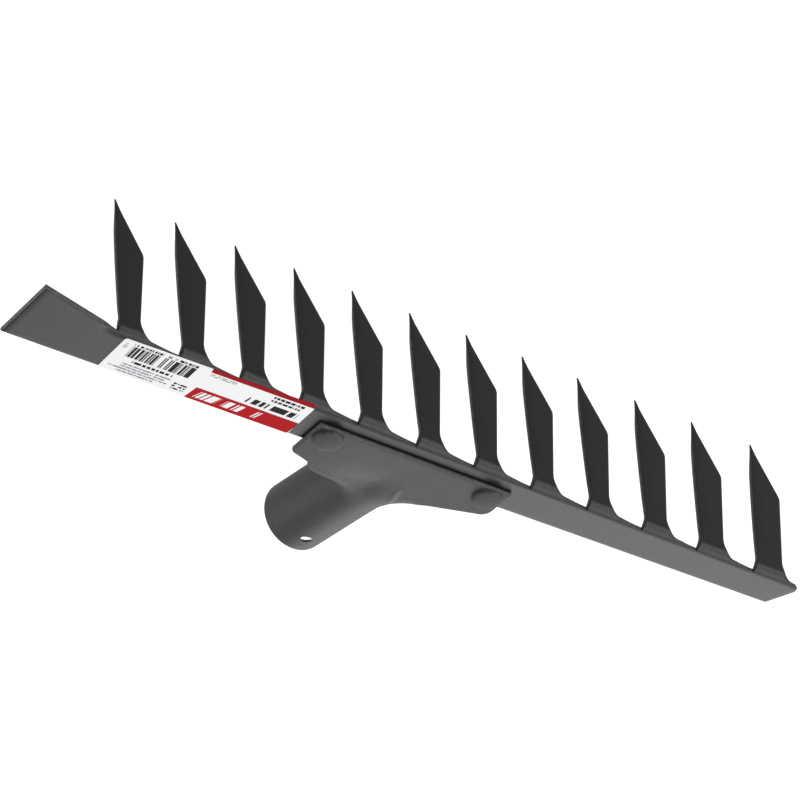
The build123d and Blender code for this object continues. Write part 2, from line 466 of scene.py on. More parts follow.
# ----------------------------------------------------------------------------- blade
@dataclass
class RakeBlade:
    """The one-piece stamping: a tapered bar with twelve pointed tines folded down.

    The sheet is laid out flat first. x is along the row, run is the distance forward of the
    fold's start along the outer face, and depth is the distance below the outer face. The fold
    then bends everything forward of run 0 round a quarter circle and straight down.

    Attributes:
        low: Lowest corner of the blade's box in the frame, in millimetres.
        high: Highest corner of the same box.
    """

    low: np.ndarray
    high: np.ndarray
    sheet: float = 2.0
    # where the tines stand
    tine_count: int = 12
    pitch: float = 27.5
    first_notch_x: float = 141.8
    first_notch_shift: float = 1.0
    first_notch_drop: float = 1.9
    last_notch_shift: float = -1.4
    # a tine's outline, from its root and the scallop beside it to its point
    root_width: float = 9.3
    root_widening: float = 3.8
    lean: float = 5.0
    last_lean: float = 0.7
    lean_change_tines: int = 3
    point_width: float = 0.15
    point_sheet: float = 0.75
    point_taper: float = 15.0
    cut_height: float = 21.8
    shoulder_radius: float = 4.5
    shoulder_flare: float = 0.65
    belly: float = 0.35
    root_sweep_radius: float = 8.5
    root_spur: float = 0.45
    spur_rise: float = 2.0
    spur_end: tuple[float, float] = (4.5, 8.0)
    scallop_slope: float = 0.17
    # the fold, and the bar's outline behind it
    fold_radius: float = 4.7
    fold_setback: float = 1.2
    flare_length: float = 7.0
    width_first: float = 21.5
    width_last: float = 16.3
    plain_end_width: float = 34.0
    cut_end_length: float = 26.6
    cut_slant: float = 6.9
    cut_corner_radius: float = 3.5
    # rolled edges and the tines' crease, with the lengths over which they come in
    edge_radius: float = 0.85
    edge_limit: float = 0.3
    inner_edge_share: float = 0.3
    scallop_ease: float = 0.7
    notch_ease: float = 2.0
    slope_step: float = 0.02
    tine_crease: float = 0.22
    crease_share: float = 0.36
    crease_fade: float = 9.0
    drop_fade: float = 14.0
    # rows and columns of the grids
    row_power: float = 1.8
    tine_columns: int = 15
    fold_rows: int = 13
    tine_rows: int = 26
    bar_rows: int = 18
    wing_rows: int = 12
    end_columns: int = 16
    finish: PaintFinish = BLADE_PAINT

    def __post_init__(self) -> None:
        """Work out the places that follow from the box and the sizes."""
        self.top = self.high[2]
        self.plain_end_x = self.high[0]
        self.last_notch_x = self.first_notch_x - (self.tine_count - 1) * self.pitch
        self.cut_end_x = self.last_notch_x - self.cut_end_length
        self.taper = (self.width_first - self.width_last) / (self.first_notch_x - self.last_notch_x)
        rise = self.taper * (self.plain_end_x - self.first_notch_x)
        self.notch_y = self.low[1] + self.plain_end_width - self.width_first - rise
        self.fold_y = self.notch_y + self.fold_setback
        self.notch_run = self.fold_radius * math.asin(self.fold_setback / self.fold_radius)
        self.fold_run = self.fold_radius * math.pi / 2
        self.tip_run = self.fold_run + self.top - self.fold_radius - self.low[2]
        self.taper_run = self.tip_run - self.point_taper

    # -- outline of the flat sheet
    def bar_run(self, x: np.ndarray | float) -> np.ndarray | float:
        """Run of the bar's back edge at x, negative: a straight line that follows the taper."""
        return self.fold_setback - (self.width_first + self.taper * (x - self.first_notch_x))

    def notch(self, index: int) -> float:
        """The x of the notch on the +X side of a tine: the two outer ones lie off the pitch."""
        shift = {0: self.first_notch_shift, self.tine_count - 1: self.last_notch_shift}.get(index, 0.0)
        return self.first_notch_x - index * self.pitch + shift

    def steadiness(self, index: int) -> float:
        """Falls evenly from 1 to 0 over the last few tines, which are wider and lean less."""
        return min(1.0, (self.tine_count - 1 - index) / self.lean_change_tines)

    def root(self, index: int) -> float:
        """The x of a tine's -X side."""
        return self.notch(index) - self.root_width - self.root_widening * (1 - self.steadiness(index))

    def tip(self, index: int) -> float:
        """The x of a tine's point."""
        lean = blend((self.last_lean, self.lean), self.steadiness(index))
        return min(self.notch(index), self.first_notch_x - index * self.pitch) + lean

    def front_run(self, x: np.ndarray | float) -> np.ndarray:
        """Run of the line where the bar ends: it falls a little towards the first notch.

        Args:
            x: Distance along the row.

        Returns:
            The run there.
        """
        first, second = self.notch(0), self.notch(1)
        share = np.clip((np.asarray(x, float) - second) / (first - second), 0.0, 1.0)
        return self.notch_run + self.first_notch_drop * share

    def front_side(self, index: int) -> np.ndarray:
        """A tine's -X outline from the notch or the bar's cut end to the point.

        The scallop is a straight slope from the notch beside the tine, swept by an arc into the
        tine's side, which runs straight to a rounded shoulder and then to the point.

        Args:
            index: The tine, from 0 at the plain end.

        Returns:
            Points (x, run), shaped (points, 2), with run rising all the way.
        """
        root = self.root(index)
        near = self.notch(index + 1)
        scallop = self.notch_run + self.scallop_slope * (root - near)
        shoulder = (root - self.shoulder_flare, self.tip_run - self.cut_height)
        point = (self.tip(index) - self.point_width, self.tip_run)
        corners = [(root, scallop), shoulder]
        radii = [self.root_sweep_radius, self.shoulder_radius]
        if index < self.tine_count - 1:
            start = [(near, self.notch_run)]
        else:
            end = (self.cut_end_x, self.notch_run + self.scallop_slope * (self.cut_end_x - near))
            back_x = self.cut_end_x + self.cut_slant
            start = [(back_x, float(self.bar_run(back_x))), end]
            radii = [self.cut_corner_radius, *radii]
        return rounded_path([*start, *corners, point], radii)

    def far_side(self, index: int, run: np.ndarray) -> np.ndarray:
        """The x of a tine's +X side: upright past the fold's start, then leaning to the point.

        Args:
            index: The tine.
            run: Where along the sheet.

        Returns:
            The x values, with a small spur beside the notch.
        """
        share = np.clip((run - self.fold_run) / (self.tip_run - self.fold_run), 0.0, 1.0)
        past = run - self.notch_run
        spur = self.root_spur * smoothstep(0.0, self.spur_rise, past)
        spur = spur * (1.0 - smoothstep(*self.spur_end, past))
        bulge = self.belly * np.sin(math.pi * share) + spur
        return self.notch(index) + (self.tip(index) - self.notch(index)) * share + bulge

    # -- the fold
    def fold(self, x: np.ndarray, run: np.ndarray, depth: np.ndarray, tine: bool = False) -> np.ndarray:
        """Bend the flat sheet.

        Behind run 0 the sheet stays flat. From there the angle is run divided by the fold
        radius, up to a right angle, and the rest of the run goes straight down. Past the first
        notch the bent sheet, unless it is a tine's, blends back into the flat one, so that the
        plain end lies flat.

        Args:
            x: Distance along the row.
            run: Distance forward of the fold's start.
            depth: Distance below the outer face.
            tine: Whether the sheet belongs to a tine.

        Returns:
            Points in the frame, shaped like the inputs with a last axis of 3.
        """
        angle = np.clip(run / self.fold_radius, 0.0, math.pi / 2)
        radius = self.fold_radius - depth
        y = self.fold_y - np.minimum(run, 0.0) - radius * np.sin(angle)
        past = np.maximum(run - self.fold_run, 0.0)
        z = self.top - self.fold_radius + radius * np.cos(angle) - past
        level = 0.0 if tine else smoothstep(self.notch(0), self.notch(0) + self.flare_length, x)
        y = y + (self.fold_y - run - y) * level
        z = z + (self.top - depth - z) * level
        return np.stack(np.broadcast_arrays(x, y, z), axis=-1)

    def sheet_grid(
        self,
        x: np.ndarray,
        run: np.ndarray,
        drop: np.ndarray,
        walls: tuple[Wall, ...],
        crease: np.ndarray | None = None,
    ) -> SheetGrid:
        """Fold a flat grid and give it both faces.

        Args:
            x: Distance along the row, shaped (rows, columns).
            run: Distance forward of the fold's start, the same shape.
            drop: Depth of the outer face below the flat, for the rolled edges.
            walls: The sides to close.
            crease: Extra depth of both faces of a tine, and nothing for the bar.

        Returns:
            The folded grid.
        """
        tine = crease is not None
        lift = crease if tine else 0.0
        outer = self.fold(x, run, drop + lift, tine)
        thinned = (self.sheet - self.point_sheet) * smoothstep(0.0, self.point_taper, run - self.taper_run)
        inner = self.fold(x, run, self.sheet - thinned - self.inner_edge_share * drop + lift, tine)
        # The rolled edges are marked for the lighter paint: part rubbed paint, part painted highlight.
        return SheetGrid(outer, inner, np.clip(drop / self.edge_radius * EDGE_WEAR_AND_HIGHLIGHT, 0.0, 1.0), walls)

    # -- patches
    def tine_outline(self, index: int) -> tuple[np.ndarray, np.ndarray]:
        """Choose the rows of a tine: its outline's own corners and evenly spaced ones between.

        Args:
            index: The tine.

        Returns:
            The run of each row and the x of the -X outline there.
        """
        outline = self.front_side(index)
        start_x = float(np.interp(self.notch_run, outline[:, 1], outline[:, 0]))
        outline = outline[outline[:, 1] > self.notch_run + TINY]
        outline = np.concatenate([[(start_x, self.notch_run)], outline])
        fold_rows = np.linspace(self.notch_run, self.fold_run, self.fold_rows)
        long_rows = np.linspace(self.fold_run, self.tip_run, self.tine_rows)
        run = np.unique(np.round(np.concatenate([outline[1:, 1], fold_rows[1:], long_rows]), 6))
        run = np.concatenate([[self.notch_run], run])
        return run, np.interp(run, outline[:, 1], outline[:, 0])

    def tine(self, index: int) -> SheetGrid:
        """One tine with its half of the scallop, from the fold's start to the point.

        Every row lies at one run. Its columns go from the -X outline, round the rolled edge,
        over the face and round the other rolled edge. The edge's width across the row is its
        radius times the square root of one plus the outline's slope squared, so that the
        rounding is as wide along the scallop as along the tine.

        Args:
            index: The tine, from 0 at the plain end.

        Returns:
            The folded grid.
        """
        run, left = self.tine_outline(index)
        right = self.far_side(index, run)
        width = right - left
        radius = np.minimum(self.edge_radius, self.edge_limit * width)
        past = run - self.notch_run
        ends_bar = index == self.tine_count - 1
        left_radius = radius if ends_bar else radius * smoothstep(0.0, self.scallop_ease, past)
        right_radius = radius * smoothstep(0.0, self.notch_ease, past)
        left_reach = left_radius * np.hypot(1.0, self.slope(index, run))
        _, drop = rolled_edge()
        share = np.linspace(0.0, 1.0, self.tine_columns)
        low, high = left + left_reach, right - right_radius
        face = low[:, None] + (high - low)[:, None] * share
        x = rolled_rows(left, left_reach, face, right, right_radius)
        flat = np.zeros((len(run), self.tine_columns - 2))
        drops = [left_radius[:, None] * drop[::-1], flat, right_radius[:, None] * drop]
        fade = smoothstep(self.fold_run, self.fold_run + self.crease_fade, run)
        fade = np.clip(fade * width / width[len(run) // 2], 0.0, 1.0)
        across = np.maximum(0.0, (x - left[:, None]) / width[:, None] - (1 - self.crease_share))
        crease = self.tine_crease / self.crease_share * across * fade[:, None]
        settle = (1 - smoothstep(0.0, self.drop_fade, past))[:, None]
        lowered = (self.front_run(x[:1]) - self.notch_run) * settle
        walls = (Wall.FIRST_COLUMN, Wall.LAST_COLUMN, Wall.LAST_ROW)
        return self.sheet_grid(x, run[:, None] + lowered, np.concatenate(drops, axis=1), walls, crease)

    def slope(self, index: int, run: np.ndarray) -> np.ndarray:
        """How fast a tine's -X outline moves along x for each step of run."""
        outline = self.front_side(index)
        return slope_at(run, outline[:, 1], outline[:, 0], self.slope_step)

    def plain_end(self) -> tuple[np.ndarray, np.ndarray]:
        """Columns of the plain end beyond the first notch, with its rolled end.

        Returns:
            The x of each column and the drop of the outer face there.
        """
        inset, drop = rolled_edge()
        flat = np.linspace(self.notch(0), self.plain_end_x - self.edge_radius, self.end_columns)[:-1]
        x = np.concatenate([flat, self.plain_end_x - self.edge_radius * inset])
        return x, np.concatenate([np.zeros(len(flat)), self.edge_radius * drop])

    def bar(self) -> SheetGrid:
        """The flat bar behind the fold, from the slanted cut end to the plain end.

        The rows run from the fold's start to the rolled back edge. The columns over each tine's
        cell are those of the tine's first row, and over the last cell they shear into the slanted
        end, so that each patch shares its points with the next. The rows crowd towards the fold
        as a power of the row's share.

        Returns:
            The bar's grid.
        """
        share = np.linspace(0.0, 1.0, self.bar_rows)[:, None]
        inset, drop = rolled_edge()
        reach = 1.0 - share[:-1, 0] ** self.row_power
        reach = np.concatenate([reach, np.zeros(EDGE_STEPS)])[:, None]
        back_inset = np.concatenate([np.zeros(len(share) - 1), inset])[:, None]
        back_drop = self.edge_radius * np.concatenate([np.zeros(len(share) - 1), drop])[:, None]
        columns, drops = [], []
        last = self.tine_count - 1
        rows = len(reach)
        end_run = self.bar_run(self.cut_end_x + self.cut_slant) + self.edge_radius * back_inset
        end_run = end_run + (self.notch_run - end_run) * reach
        outline = self.front_side(last)
        end_x = np.interp(end_run[:, 0], outline[:, 1], outline[:, 0])
        end_reach = self.edge_radius * np.hypot(1.0, self.slope(last, end_run[:, 0]))
        columns.append(end_x[:, None] + end_reach[:, None] * inset[::-1])
        drops.append(np.repeat(self.edge_radius * drop[::-1][None], rows, 0))
        share_x = np.linspace(0.0, 1.0, self.tine_columns)
        for index in range(last, -1, -1):
            low = (end_x + end_reach)[:, None] if index == last else self.notch(index + 1)
            cell = low + (self.notch(index) - low) * share_x[None, 1:]
            columns.append(np.broadcast_to(cell, (rows, len(share_x) - 1)))
            drops.append(np.zeros((rows, len(share_x) - 1)))
        for parts, values in zip((columns, drops), self.plain_end()):
            parts.append(np.broadcast_to(values[1:], (rows, len(values) - 1)))
        x = np.concatenate(columns, axis=1)
        drop_grid = np.maximum(np.concatenate(drops, axis=1), back_drop)
        run = self.bar_run(x) + self.edge_radius * back_inset
        run = run + (self.front_run(x) - run) * reach
        walls = (Wall.LAST_ROW, Wall.FIRST_COLUMN, Wall.LAST_COLUMN)
        return self.sheet_grid(x, run, drop_grid, walls)

    def wing(self) -> SheetGrid:
        """The flat flare of the plain end forward of the fold line, widening from the notch.

        Returns:
            The flare's grid.
        """
        x, end_drop = self.plain_end()
        start = self.front_run(self.notch(0))
        widening = self.plain_end_width + self.bar_run(self.plain_end_x) - start
        front = widening * (x - self.notch(0)) / (self.plain_end_x - self.notch(0))
        radius = self.edge_radius * smoothstep(0.0, self.notch_ease, front)
        inset, drop = rolled_edge()
        share = np.linspace(0.0, 1.0, self.wing_rows)[:-1, None]
        flat = share * (front - radius)
        run = start + np.concatenate([flat, front - radius * inset[:, None]])
        drops = np.concatenate([np.zeros_like(flat), radius * drop[:, None]])
        drops = np.maximum(drops, end_drop)
        grid_x = np.broadcast_to(x, run.shape)
        return self.sheet_grid(grid_x, run, drops, (Wall.LAST_ROW, Wall.LAST_COLUMN))

    def build(self) -> bpy.types.Object:
        """Build the blade from its bar, its flare and its tines, and paint it.

        Returns:
            The blade's object.
        """
        tines = [self.tine(index) for index in range(self.tine_count)]
        piece = join_grids("rake_blade_sheet", [self.bar(), self.wing(), *tines])
        piece.data.materials.append(self.finish.build())
        return piece


# ---------------------------------------------------------------------------- socket
@dataclass
class HandleSocket:
    """The flange and the rolled tube, one sheet that curls from flat to round.

    reach is the distance from the flange's front edge back along the crown of the sheet, and
    across is the distance out from the crown along the sheet's outer face. A fold or a span is
    given at the crown and at the neck's corner.

    Attributes:
        low: Lowest corner of the socket's box in the frame, in millimetres.
        high: Highest corner of the same box.
    """

    low: np.ndarray
    high: np.ndarray
    sheet: float = 1.8
    tube_radius: float = 15.05
    tilt: float = math.radians(7.5)
    tube_length: float = 47.0
    neck_length: float = 14.0
    # outline of the flat blank
    flange_depth: float = 30.5
    flange_half: float = 45.5
    left_ear: float = 21.5
    right_ear: float = 17.4
    left_corner: float = 35.7
    right_corner: float = 15.5
    ear_slope: float = 0.306
    left_neck_fillet: float = 1.2
    right_neck_fillet: float = 6.0
    left_ear_radius: float = 2.5
    right_ear_radius: float = 5.0
    seam_width: float = 2.5
    throat_rake: float = math.radians(30.0)
    throat_steps: int = 24
    # screw hole
    hole_radius: float = 2.4
    hole_flare: float = 1.7
    hole_from_mouth: float = 11.0
    hole_lip: float = 0.35
    hole_steps: int = 40
    # rolled edges, rows and the crown line
    edge_radius: float = 0.7
    inner_edge_share: float = 0.35
    row_steps: tuple[int, int, int] = (12, 60, 16)
    neck_end: float = 9.0
    crown_blend: float = 6.0
    crown_steps: int = 1200
    slope_step: float = 0.05
    edge_limit: float = 4.5
    # how the bend sets in between the flange and the tube
    flat_crown: float = 13.0
    left_fold: tuple[float, float] = (36.0, 27.5)
    left_span: tuple[float, float] = (17.0, 4.0)
    left_fold_power: float = 1.8
    left_span_power: float = 1.5
    right_fold: tuple[float, float] = (35.0, 29.0)
    right_span: tuple[float, float] = (19.0, 9.0)
    right_turn: tuple[float, float] = (2.0, 17.0)
    neck_fullness: float = 0.6
    fullness_start: float = 24.0
    # press marks
    valley_depth: float = 1.6
    valley_reach: float = 26.5
    valley_length: float = 7.5
    valley_across: float = 6.5
    valley_widths: tuple[float, float] = (13.0, 6.5)
    crease_height: float = 0.3
    crease_width: float = 1.2
    # Painted highlight along the raised crease at the neck.
    crease_highlight: float = 0.8
    crease_reach: tuple[float, ...] = (20.0, 31.0, 42.0, 61.0)
    crease_across: tuple[float, ...] = (-5.6, -7.6, -9.8, -9.2)
    crease_start: tuple[float, float] = (18.5, 23.0)
    crease_end: tuple[float, float] = (32.0, 62.0)
    columns: int = 151
    finish: PaintFinish = SOCKET_PAINT

    def __post_init__(self) -> None:
        """Work out the reach of the neck's start, the tube's start and the mouth."""
        self.tube_start = self.flange_depth + self.neck_length
        self.mouth = self.tube_start + self.tube_length

    def side(self, ear: float, corner: float, radii: list[float]) -> np.ndarray:
        """One side of the flat blank: the ear, the neck, and the tube opening out below.

        The ear's back edge slopes to the neck's corner. The tube's half width is its radius
        times the angle at which the raked throat crosses it, the arc cosine of minus the depth
        below the axis over the radius.

        Args:
            ear: Reach of the ear's back corner.
            corner: Distance of the neck's corner from the crown.
            radii: Radius of the ear's back corner and of the neck's corner.

        Returns:
            Points (reach, across), with reach rising all the way.
        """
        half_ring = self.tube_radius * math.pi / 2
        root = ear + self.ear_slope * (self.flange_half - corner)
        flat = [(0.0, self.flange_half), (ear, self.flange_half), (root, corner)]
        blank = rounded_path([*flat, (self.tube_start, half_ring)], radii)
        seam_angle = math.pi - math.asin(self.seam_width / 2 / self.tube_radius)
        angle = np.linspace(math.pi / 2, seam_angle, self.throat_steps)
        depth = -self.tube_radius * np.cos(angle)
        throat_reach = self.tube_start + depth * math.tan(self.throat_rake)
        throat = np.stack([throat_reach, angle * self.tube_radius], axis=1)
        end = np.array([[self.mouth, seam_angle * self.tube_radius]])
        return np.concatenate([blank[:-1], throat, end])

    def reaches(self, left: np.ndarray, right: np.ndarray) -> np.ndarray:
        """Choose the rows: fine where the outline turns, coarse along the tube.

        Args:
            left: The +X outline, whose own corners each get a row.
            right: The -X outline.

        Returns:
            The reach of each row.
        """
        inset, _ = rolled_edge()
        neck_end = self.tube_start + self.neck_end
        stops = (self.edge_radius, self.right_ear, neck_end, self.mouth - self.edge_radius)
        parts = [np.linspace(*ends, steps) for *ends, steps in zip(stops, stops[1:], self.row_steps)]
        parts += [self.edge_radius * inset, self.mouth - self.edge_radius * inset]
        return np.unique(np.round(np.concatenate([*parts, left[1:-1, 0], right[1:-1, 0]]), 5))

    def bend(self, reach: np.ndarray, across: np.ndarray) -> np.ndarray:
        """How much of the tube's bend the sheet has taken up at each point, from 0 to 1.

        It rises along a smooth step centred on the fold line. That line and the step's length
        depend on the distance from the crown: the fold is late and soft at the crown, and early
        and sharp at the neck's two corners. On the +X side both fall away as a power of the
        distance, and on the -X side they follow a smooth step. Up to the tube's start the neck
        takes only part of the bend.

        Args:
            reach: Reach of each row, shaped (rows, 1).
            across: Signed distance from the crown, shaped (rows, columns).

        Returns:
            The shares, shaped (rows, columns).
        """
        out = np.abs(across)
        fall = np.clip((out - self.flat_crown) / (self.left_corner - self.flat_crown), 0.0, 1.0)
        fall = fall**self.left_fold_power
        shrink = np.clip(out / self.left_corner, 0.0, 1.0) ** self.left_span_power
        near = smoothstep(*self.right_turn, out)
        fold = np.where(across > 0, blend(self.left_fold, fall), blend(self.right_fold, near))
        span = np.where(across > 0, blend(self.left_span, shrink), blend(self.right_span, near))
        full = blend((self.neck_fullness, 1.0), smoothstep(self.fullness_start, self.tube_start, reach))
        return smoothstep(fold - span / 2, fold + span / 2, reach) * full

    def section(self, reach: np.ndarray, across: np.ndarray) -> tuple[np.ndarray, np.ndarray, np.ndarray]:
        """Curl every row of the sheet.

        The sheet's turning angle is across over the tube's radius, times the share of the bend
        reached there. Positions are the running sums of the cosine and sine of the angle.

        Args:
            reach: Reach of each row.
            across: Signed distance from the crown, shaped (rows, columns).

        Returns:
            The x, the drop below the crown and the turning angle of each point.
        """
        angle = across / self.tube_radius * self.bend(reach[:, None], across)
        step = np.diff(across, axis=1)
        middle = (angle[:, 1:] + angle[:, :-1]) / 2
        x = np.concatenate([np.zeros((len(reach), 1)), np.cumsum(np.cos(middle) * step, axis=1)], axis=1)
        drop = np.concatenate([np.zeros((len(reach), 1)), np.cumsum(np.sin(middle) * step, axis=1)], axis=1)
        centre = self.columns // 2
        return x - x[:, centre : centre + 1], drop - drop[:, centre : centre + 1], angle

    def dents(self, reach: np.ndarray, across: np.ndarray) -> np.ndarray:
        """Depth of the press marks at the neck: a shallow valley and a fine raised crease.

        The valley is a bell curve along the sheet and across it, gentler to +X than to -X. The
        crease is a narrow ridge that wanders out from the crown on the -X side and dies away.

        Args:
            reach: Reach of each row, shaped (rows, 1).
            across: Signed distance from the crown, shaped (rows, columns).

        Returns:
            Depths below the plain sheet, negative for the ridge.
        """
        spread = np.where(across > self.valley_across, *self.valley_widths)
        valley = bell(reach, self.valley_reach, self.valley_length)
        valley = valley * bell(across, self.valley_across, spread)
        return self.valley_depth * valley - self.crease_height * self.crease(reach, across)

    def crease(self, reach: np.ndarray, across: np.ndarray) -> np.ndarray:
        """Height of the crease: a bell curve about a path that wanders outwards.

        Args:
            reach: Reach of each row, shaped (rows, 1).
            across: Signed distance from the crown, shaped (rows, columns).

        Returns:
            Heights from 0 to 1.
        """
        path = np.interp(reach, self.crease_reach, self.crease_across)
        length = smoothstep(*self.crease_start, reach) * (1 - smoothstep(*self.crease_end, reach))
        return bell(across, path, self.crease_width) * length

    def crown(self, reach: np.ndarray) -> tuple[np.ndarray, np.ndarray, np.ndarray]:
        """The crown line: flat over the flange, bending over the neck to the tube's tilt.

        Args:
            reach: Reach of each row.

        Returns:
            The y, the z and the tilt of the crown at each row.
        """
        fine = np.linspace(0.0, self.mouth, self.crown_steps)
        bend = (self.flange_depth - self.crown_blend, self.flange_depth + self.crown_blend)
        tilt = self.tilt * smoothstep(*bend, fine)
        middle = (tilt[1:] + tilt[:-1]) / 2
        step = np.diff(fine)
        y = self.low[1] + np.concatenate([[0.0], np.cumsum(np.cos(middle) * step)])
        z = self.high[2] - np.concatenate([[0.0], np.cumsum(np.sin(middle) * step)])
        return np.interp(reach, fine, y), np.interp(reach, fine, z), np.interp(reach, fine, tilt)

    def grid(self) -> SheetGrid:
        """The whole socket as one pair of grids, before the screw hole is cut.

        Returns:
            The socket's grid.
        """
        left_radii = [self.left_ear_radius, self.left_neck_fillet]
        right_radii = [self.right_ear_radius, self.right_neck_fillet]
        left = self.side(self.left_ear, self.left_corner, left_radii)
        right = self.side(self.right_ear, self.right_corner, right_radii)
        reach = self.reaches(left, right)
        spans = []
        for outline in (right, left):
            slope = slope_at(reach, outline[:, 0], outline[:, 1], self.slope_step)
            edge = np.minimum(self.edge_radius * np.hypot(1.0, slope), self.edge_limit)
            spans.append((np.interp(reach, outline[:, 0], outline[:, 1]), edge))
        (right_width, right_edge), (left_width, left_edge) = spans
        share = np.linspace(-1.0, 1.0, self.columns - 2 * (EDGE_STEPS - 1))
        half = np.where(share < 0, (right_width - right_edge)[:, None], (left_width - left_edge)[:, None])
        across = rolled_rows(-right_width, right_edge, share * half, left_width, left_edge)
        _, drop = rolled_edge()
        side_drop = np.concatenate([drop[::-1], np.zeros(len(share) - 2), drop]) * self.edge_radius
        end_gap = np.clip(np.minimum(reach, self.mouth - reach) / self.edge_radius, 0.0, 1.0)
        end_drop = self.edge_radius * (1 - np.sqrt(1 - (1 - end_gap) ** 2))
        return self.place(reach, across, np.maximum(side_drop[None], end_drop[:, None]))

    def place(self, reach: np.ndarray, across: np.ndarray, drops: np.ndarray) -> SheetGrid:
        """Curl the rows, set them along the crown line and give the sheet its thickness.

        Args:
            reach: Reach of each row.
            across: Signed distance from the crown, shaped (rows, columns).
            drops: Depth of the outer face below the sheet's surface at the rolled edges.

        Returns:
            The grid in the frame.
        """
        x, sag, angle = self.section(reach, across)
        y, z, tilt = (value[:, None] for value in self.crown(reach))
        sag = sag + self.dents(reach[:, None], across)
        normal = np.stack(
            [np.sin(angle), np.cos(angle) * np.sin(tilt), np.cos(angle) * np.cos(tilt)], axis=-1
        )
        surface = np.stack([x, y - sag * np.sin(tilt), z - sag * np.cos(tilt)], axis=-1)
        outer = surface - normal * drops[..., None]
        inner = surface - normal * (self.sheet - self.inner_edge_share * drops)[..., None]
        # Lighter paint at the rolled edges, part rubbed paint and part painted highlight, and a painted
        # highlight along the crease.
        wear_and_highlight = np.clip(drops / self.edge_radius * EDGE_WEAR_AND_HIGHLIGHT, 0.0, 1.0)
        wear_and_highlight = np.maximum(wear_and_highlight, self.crease_highlight * self.crease(reach[:, None], across))
        return SheetGrid(outer, inner, wear_and_highlight, tuple(Wall))

    def cut_hole(self, piece: bpy.types.Object) -> None:
        """Cut the round screw hole through the top of the tube, flaring inwards.

        Args:
            piece: The socket's object, whose mesh is replaced by the cut one.
        """
        steps, lip = self.hole_steps, self.hole_lip
        angle = np.linspace(0.0, 2 * math.pi, steps, endpoint=False)
        up = np.array([0.0, math.sin(self.tilt), math.cos(self.tilt)])
        inwards = np.array([0.0, -math.cos(self.tilt), math.sin(self.tilt)])
        ring = np.outer(np.cos(angle), [1.0, 0.0, 0.0]) + np.outer(np.sin(angle), inwards)
        centre = inwards * self.hole_from_mouth + up * self.tube_radius
        levels = (-self.tube_radius / 2, -lip, self.tube_radius / 2)
        flare = self.hole_flare / self.sheet
        radii = [self.hole_radius + flare * max(0.0, -level - lip) for level in levels]
        rings = np.stack([centre + radius * ring + up * level for radius, level in zip(radii, levels)])
        mesh = bpy.data.meshes.new("hole_punch")
        index = np.arange(len(levels) * steps).reshape(len(levels), steps)
        sides = grid_quads(np.concatenate([index, index[:, :1]], axis=1))
        caps = [index[0].tolist(), index[-1].tolist()]
        mesh.from_pydata((rings.reshape(-1, 3) * METRES).tolist(), [], [*sides.tolist(), *caps])
        work = bmesh.new()
        work.from_mesh(mesh)
        bmesh.ops.recalc_face_normals(work, faces=work.faces)
        work.to_mesh(mesh)
        work.free()
        punch = bpy.data.objects.new("hole_punch", mesh)
        bpy.context.scene.collection.objects.link(punch)
        cut = piece.modifiers.new("screw_hole", "BOOLEAN")
        cut.object, cut.operation, cut.solver = punch, "DIFFERENCE", "EXACT"
        graph = bpy.context.evaluated_depsgraph_get()
        cut_mesh = bpy.data.meshes.new_from_object(piece.evaluated_get(graph))
        piece.modifiers.remove(cut)
        piece.data = cut_mesh
        bpy.data.objects.remove(punch)

    def build(self) -> bpy.types.Object:
        """Build the socket, paint it and cut its hole.

        Returns:
            The socket's object.
        """
        piece = join_grids("socket_sheet", [self.grid()])
        piece.data.materials.append(self.finish.build())
        self.cut_hole(piece)
        return piece


